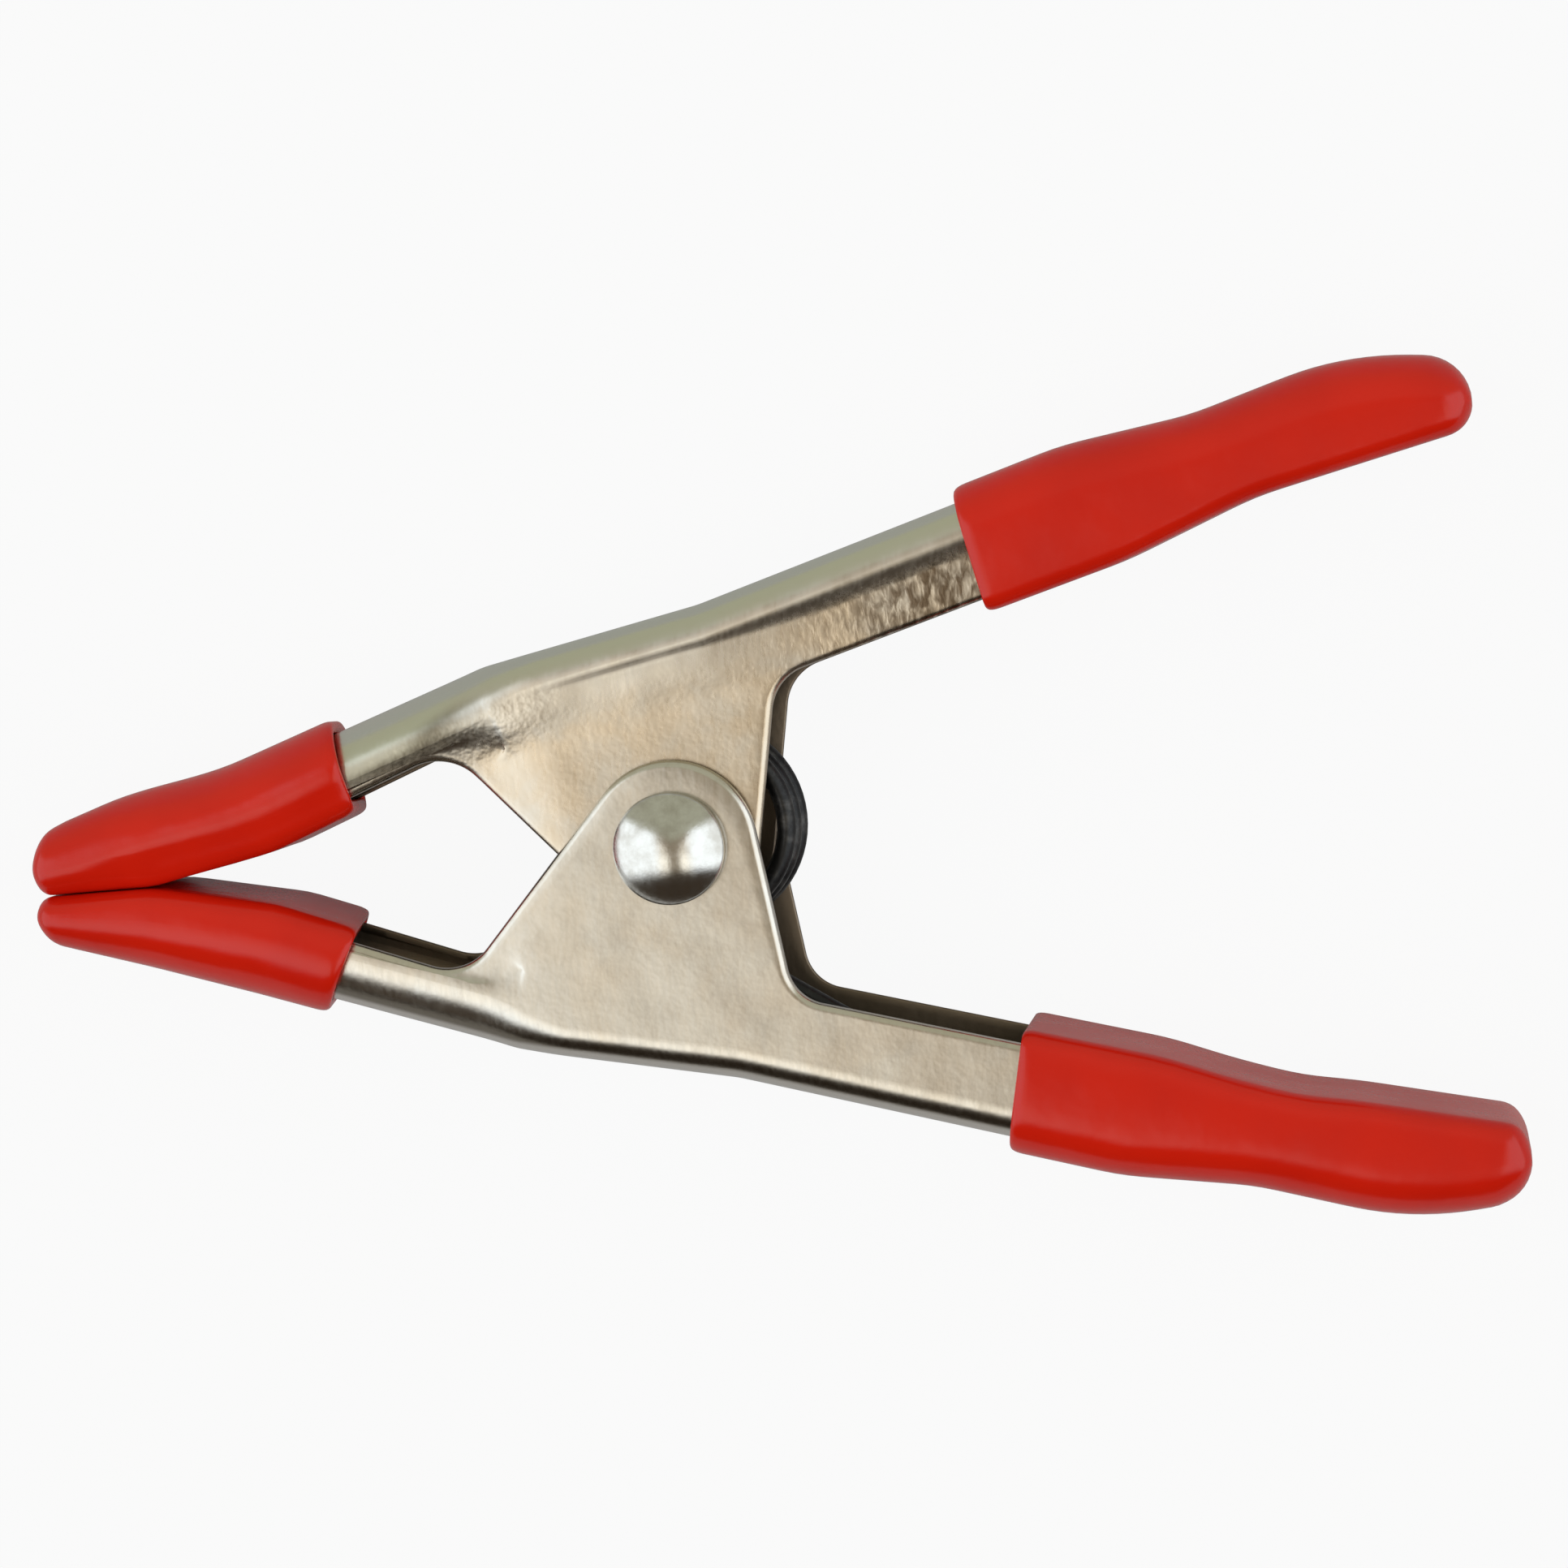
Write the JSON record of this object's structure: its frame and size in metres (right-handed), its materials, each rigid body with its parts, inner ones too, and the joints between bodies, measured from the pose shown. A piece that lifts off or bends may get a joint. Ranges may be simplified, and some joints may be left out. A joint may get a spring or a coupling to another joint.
{
  "type": "spring clamp",
  "caption": "Spring clamp with riveted steel channel levers, a torsion spring that shuts the jaws, and soft vinyl sleeves on jaws and handles.",
  "frame": {"origin": "on the pivot's axis, at the flat end of the rivet's tail, which the clamp rests on together with its sleeves", "axes": "+X from the pivot towards the handles, +Y across the jaws towards the upper lever, +Z along the pivot towards the rivet's dome"},
  "size_m": [0.1666, 0.0954, 0.0228],
  "materials": {
    "plated_steel": "nickel plate over pressed sheet, satin",
    "polished_steel": "polished",
    "black_wire": "black oxide spring wire",
    "red_vinyl": "glossy dipped vinyl"
  },
  "bodies": {
    "lower_half": {"lower_lever": "plated_steel", "lower_jaw_sleeve": "red_vinyl", "lower_handle_grip": "red_vinyl", "pivot_rivet": "polished_steel", "torsion_spring": "black_wire"},
    "upper_half": {"upper_lever": "plated_steel", "upper_jaw_sleeve": "red_vinyl", "upper_handle_grip": "red_vinyl"}
  },
  "joints": [
    {"name": "jaw_pivot", "type": "hinge", "parent": "lower_half", "child": "upper_half", "pos_m": [0, 0, 0.0102], "axis": [0, 0, -1], "range_deg": [0, 45], "stiffness_Nm_per_rad": 4.6, "springref_deg": -61.88, "deforming": ["torsion_spring"]}
  ]
}
